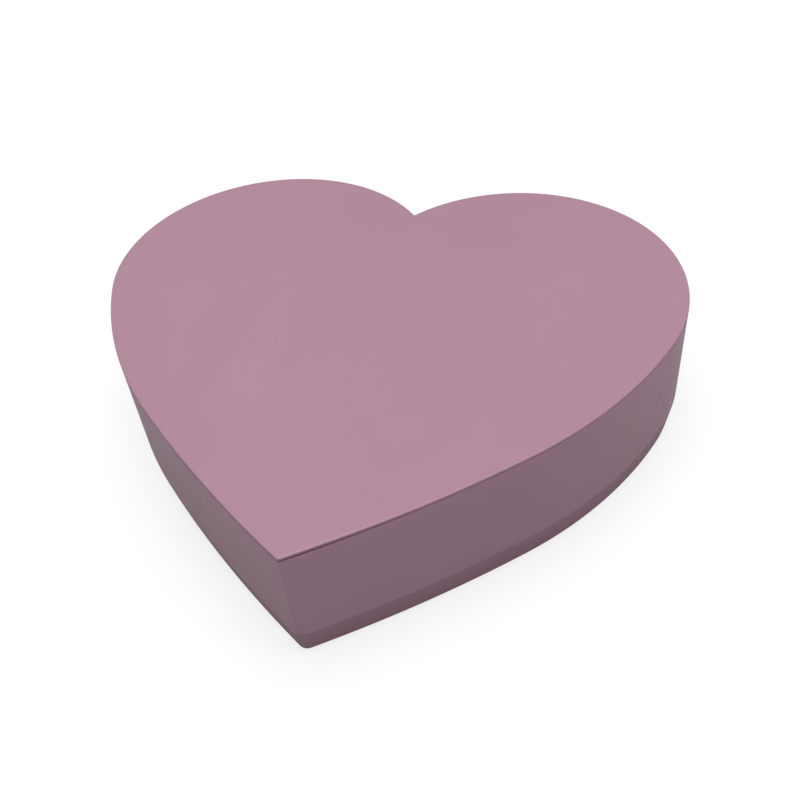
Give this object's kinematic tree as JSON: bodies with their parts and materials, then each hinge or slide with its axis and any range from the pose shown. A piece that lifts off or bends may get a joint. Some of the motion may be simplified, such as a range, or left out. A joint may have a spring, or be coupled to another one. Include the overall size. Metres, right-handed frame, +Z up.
{
  "type": "wind up music box",
  "caption": "Heart-shaped lacquered wind up music box with a hinged lid, a lined compartment and a pinned-cylinder movement wound from below.",
  "frame": {"origin": "middle of the whole box's plan (hinge barrels included), on the surface that it stands on", "axes": "+Z up; +Y towards the notch and the hinges at the back, the tip points to -Y; +X to the right, the movement's side"},
  "size_m": [0.1758, 0.1598, 0.0413],
  "materials": {
    "lid_lacquer": "satin lacquer",
    "wall_lacquer": "satin lacquer",
    "plinth_lacquer": "satin lacquer",
    "bare_wood": "sanded, unfinished",
    "lined_board": "sanded, unfinished",
    "velvet_lining": "short velvet pile",
    "velvet_pad": "short velvet pile over foam",
    "felt": "pressed felt",
    "clear_cover": "clear acrylic, polished",
    "mirror": "silvered",
    "hinge_brass": "brushed",
    "key_brass": "tumbled",
    "brass_fasteners": "polished",
    "gear_brass": "machined",
    "cylinder_brass": "fine turned",
    "cast_bedplate": "cast, gold lacquered",
    "nickel": "satin nickel",
    "steel": "fine turned",
    "comb_steel": "ground and hardened",
    "blued_steel": "blued",
    "white_nylon": "moulded",
    "fan_plastic": "moulded"
  },
  "bodies": {
    "case": {"plinth_rim": "plinth_lacquer", "side_wall": "wall_lacquer", "base_board": "bare_wood", "base_screws": "steel", "long_divider": "lined_board", "cross_divider": "lined_board", "wall_lining": "velvet_lining", "floor_pad": "velvet_pad", "cover_blocks": "bare_wood", "movement_cover": "clear_cover", "cover_screws": "brass_fasteners", "lid_rest_pads": "felt", "left_case_leaf": "hinge_brass", "right_case_leaf": "hinge_brass", "left_hinge_pin": "steel", "right_hinge_pin": "steel", "case_leaf_screws": "brass_fasteners", "key_plate": "hinge_brass", "bedplate": "cast_bedplate", "movement_screws": "steel", "spring_housing": "nickel", "housing_screws": "blued_steel", "mainspring": "blued_steel", "comb": "comb_steel", "comb_screws": "blued_steel", "bearing_post": "gear_brass", "gear_frame": "gear_brass", "frame_screws": "blued_steel", "fly_bridge": "gear_brass", "bridge_screw": "blued_steel"},
    "lid": {"lid_panel": "lid_lacquer", "lid_board": "lined_board", "lid_mirror": "mirror", "lid_lining": "velvet_lining", "left_lid_leaf": "hinge_brass", "right_lid_leaf": "hinge_brass", "lid_leaf_screws": "brass_fasteners"},
    "key": {"winding_key": "key_brass", "winding_arbor": "steel", "ratchet_wheel": "steel"},
    "great_wheel": {"great_wheel": "gear_brass", "click_spring": "steel"},
    "cylinder": {"cylinder_sleeve": "cylinder_brass", "cylinder_pins": "steel", "cylinder_arbor": "steel", "cylinder_pinion": "gear_brass", "cylinder_gear": "gear_brass"},
    "idler": {"idler_arbor": "steel", "idler_pinion": "gear_brass", "worm_wheel": "white_nylon"},
    "fly": {"worm": "steel", "fly_arbor": "steel", "fly_fan": "fan_plastic"},
    "stop": {"stop_rod": "brass_fasteners"}
  },
  "joints": [
    {"name": "lid_hinge", "type": "hinge", "parent": "case", "child": "lid", "pos_m": [0, 0.07839, 0.0383], "axis": [-1, 0, 0], "range_deg": [0, 95]},
    {"name": "key_winding", "type": "hinge", "parent": "case", "child": "key", "pos_m": [0.027, 0.03159, 0.006], "axis": [0, 0, 1], "continuous": true},
    {"name": "cylinder_spin", "type": "hinge", "parent": "case", "child": "cylinder", "pos_m": [0.044, 0.03159, 0.0243], "axis": [1, 0, 0], "continuous": true},
    {"name": "great_wheel_spin", "type": "hinge", "parent": "case", "child": "great_wheel", "pos_m": [0.027, 0.03159, 0.026], "axis": [0, 0, 1], "continuous": true},
    {"name": "idler_spin", "type": "hinge", "parent": "case", "child": "idler", "pos_m": [0.044, 0.03959, 0.0243], "axis": [1, 0, 0], "continuous": true},
    {"name": "fly_spin", "type": "hinge", "parent": "case", "child": "fly", "pos_m": [0.0628, 0.04564, 0.024], "axis": [0, 0, 1], "continuous": true},
    {"name": "stop_rod_slide", "type": "slide", "parent": "case", "child": "stop", "axis": [0, 0, 1], "range_m": [0, 0.00095]}
  ],
  "couplings": [
    {"joint": "great_wheel_spin", "follows": "cylinder_spin", "ratio": -0.2},
    {"joint": "idler_spin", "follows": "cylinder_spin", "ratio": -4},
    {"joint": "fly_spin", "follows": "cylinder_spin", "ratio": -96},
    {"joint": "stop_rod_slide", "follows": "lid_hinge", "m_per_rad": 0.000543}
  ]
}
